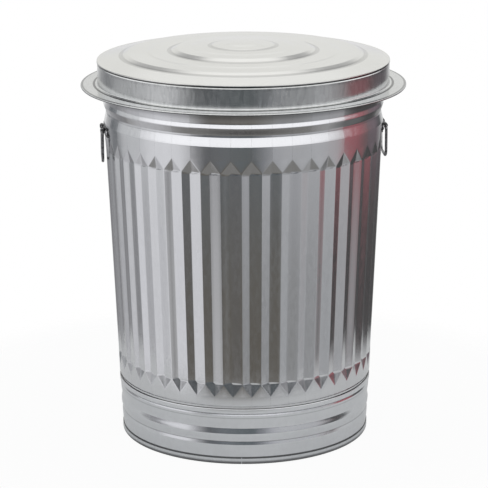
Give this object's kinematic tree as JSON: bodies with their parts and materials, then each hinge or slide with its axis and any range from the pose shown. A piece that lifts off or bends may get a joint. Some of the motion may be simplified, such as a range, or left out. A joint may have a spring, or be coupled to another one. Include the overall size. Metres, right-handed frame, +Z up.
{
  "type": "metal dustbin",
  "caption": "Round tapered fluted metal dustbin with a beaded base, drop handles and a loose domed lid with a wide brim that lifts off.",
  "frame": {"origin": "centre of the bottom edge of the foot hoop, on the ground", "axes": "+Z up along the bin's axis; the two handles are on the X axis"},
  "size_m": [0.5246, 0.5246, 0.6443],
  "materials": {
    "bright_zinc": "bright zinc plating with long smooth reflections and faint rolling marks",
    "dull_zinc": "pale satin galvanising with a fine crystal grain",
    "wire_steel": "drawn wire with a dull dark plating",
    "bracket_steel": "pressed strap with a nearly black finish, worn at the folds",
    "rivet_steel": "plated rivet with a hammered head"
  },
  "bodies": {
    "bin": {"body_shell": "bright_zinc", "rim_wire": "wire_steel", "base_band": "bright_zinc", "bottom_pan": "dull_zinc", "foot_hoop": "bright_zinc", "bracket_left": "bracket_steel", "bracket_right": "bracket_steel", "rivets_left": "rivet_steel", "rivets_right": "rivet_steel"},
    "lid": {"lid_panel": "dull_zinc", "lid_collar": "dull_zinc", "lid_edge_wire": "wire_steel"},
    "left_handle": {"handle_left": "wire_steel"},
    "right_handle": {"handle_right": "wire_steel"}
  },
  "joints": [
    {"name": "lid_lift", "type": "slide", "parent": "bin", "child": "lid", "axis": [0, 0, 1], "range_m": [0, 0.12]},
    {"name": "left_handle_swing", "type": "hinge", "parent": "bin", "child": "left_handle", "pos_m": [-0.22901, 0, 0.509], "axis": [0, 1, 0], "range_deg": [-3, 165]},
    {"name": "right_handle_swing", "type": "hinge", "parent": "bin", "child": "right_handle", "pos_m": [0.22901, 0, 0.509], "axis": [0, -1, 0], "range_deg": [-3, 165]}
  ]
}
